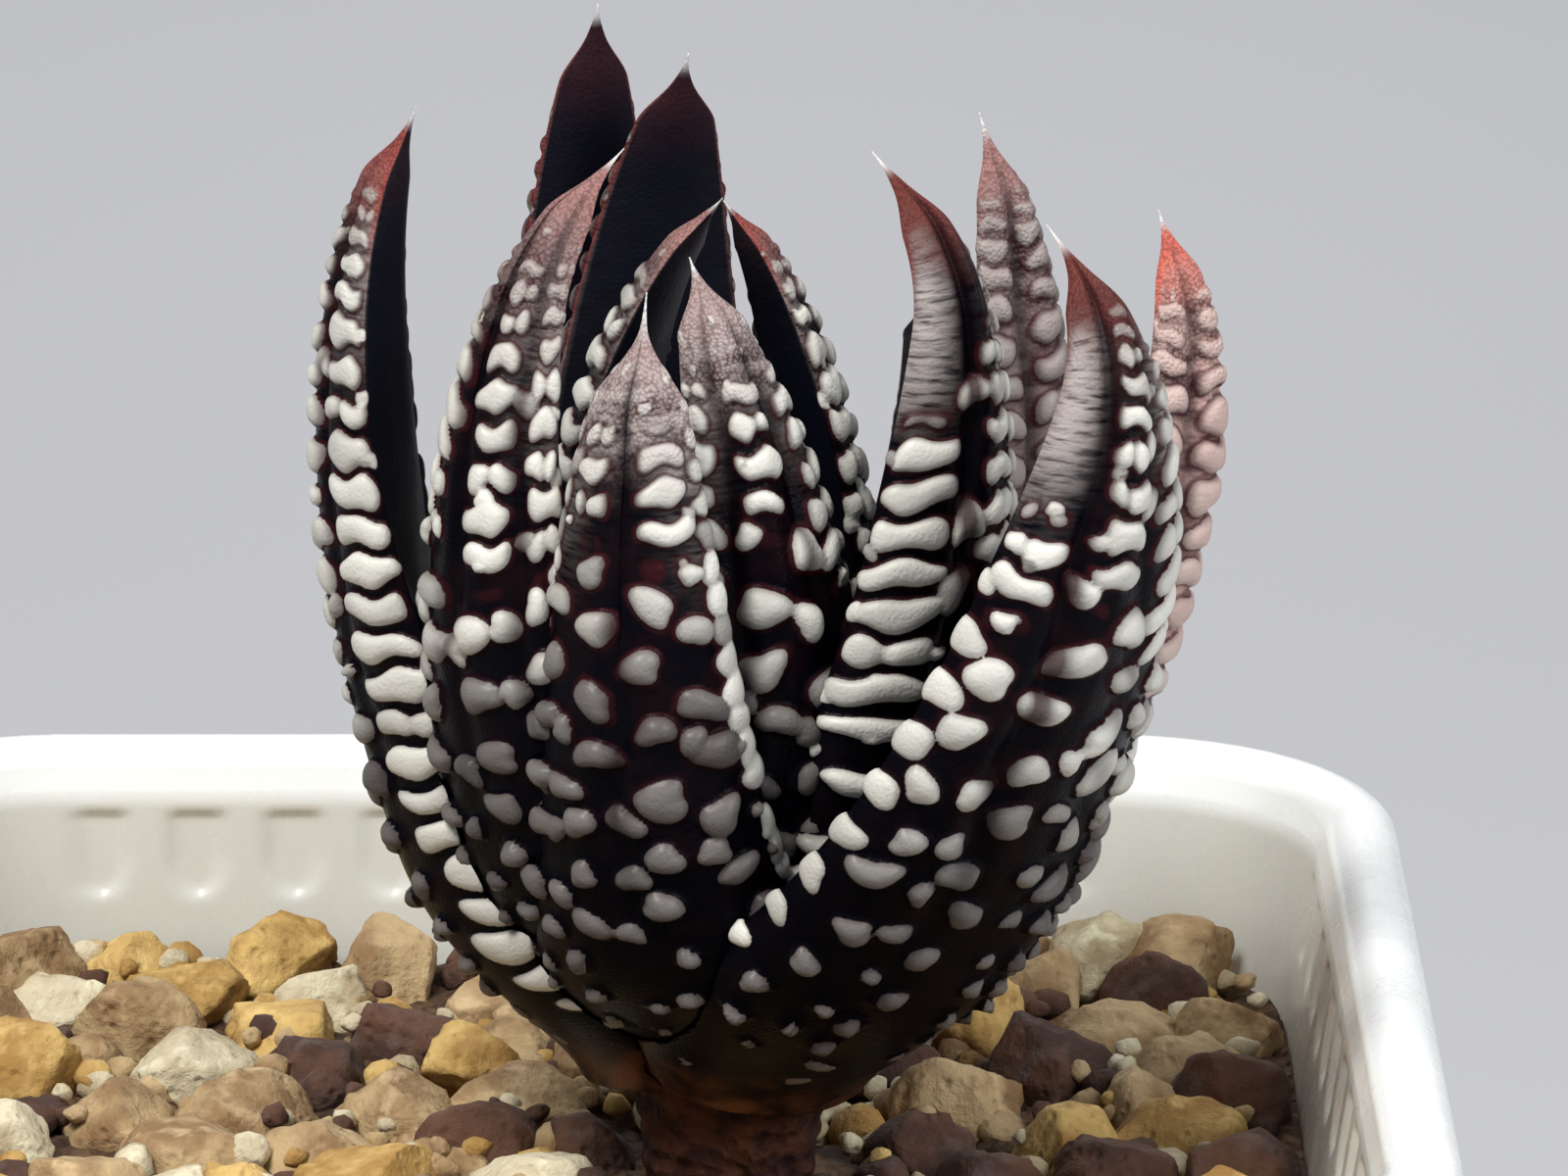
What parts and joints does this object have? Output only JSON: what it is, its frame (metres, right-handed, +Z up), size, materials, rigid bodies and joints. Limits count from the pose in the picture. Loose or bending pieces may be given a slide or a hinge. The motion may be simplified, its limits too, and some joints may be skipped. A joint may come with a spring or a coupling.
{
  "type": "potted haworthia",
  "caption": "Small succulent with upright dark leaves covered in pale warts, growing from stone grit in a tapered square pot with a rounded rim.",
  "frame": {"origin": "middle of the pot's underside, on the plane it stands on", "axes": "+Z up; the pot's flat sides face +X, -X, +Y and -Y; the pictured side is -Y"},
  "size_m": [0.089, 0.089, 0.127],
  "materials": {
    "pot": "glossy white",
    "grit": "dry tan, cream and brown mineral grit",
    "stem": "rough red-brown",
    "leaf": "slightly glossy maroon-black skin with bone-white warts and reddish tips"
  },
  "bodies": {
    "root": {"pot": "pot", "grit": "grit", "stem": "stem", "leaf_01": "leaf", "leaf_02": "leaf", "leaf_03": "leaf", "leaf_04": "leaf", "leaf_05": "leaf", "leaf_06": "leaf", "leaf_07": "leaf", "leaf_08": "leaf", "leaf_09": "leaf", "leaf_10": "leaf", "leaf_11": "leaf", "leaf_12": "leaf", "leaf_13": "leaf", "leaf_14": "leaf"}
  },
  "joints": []
}
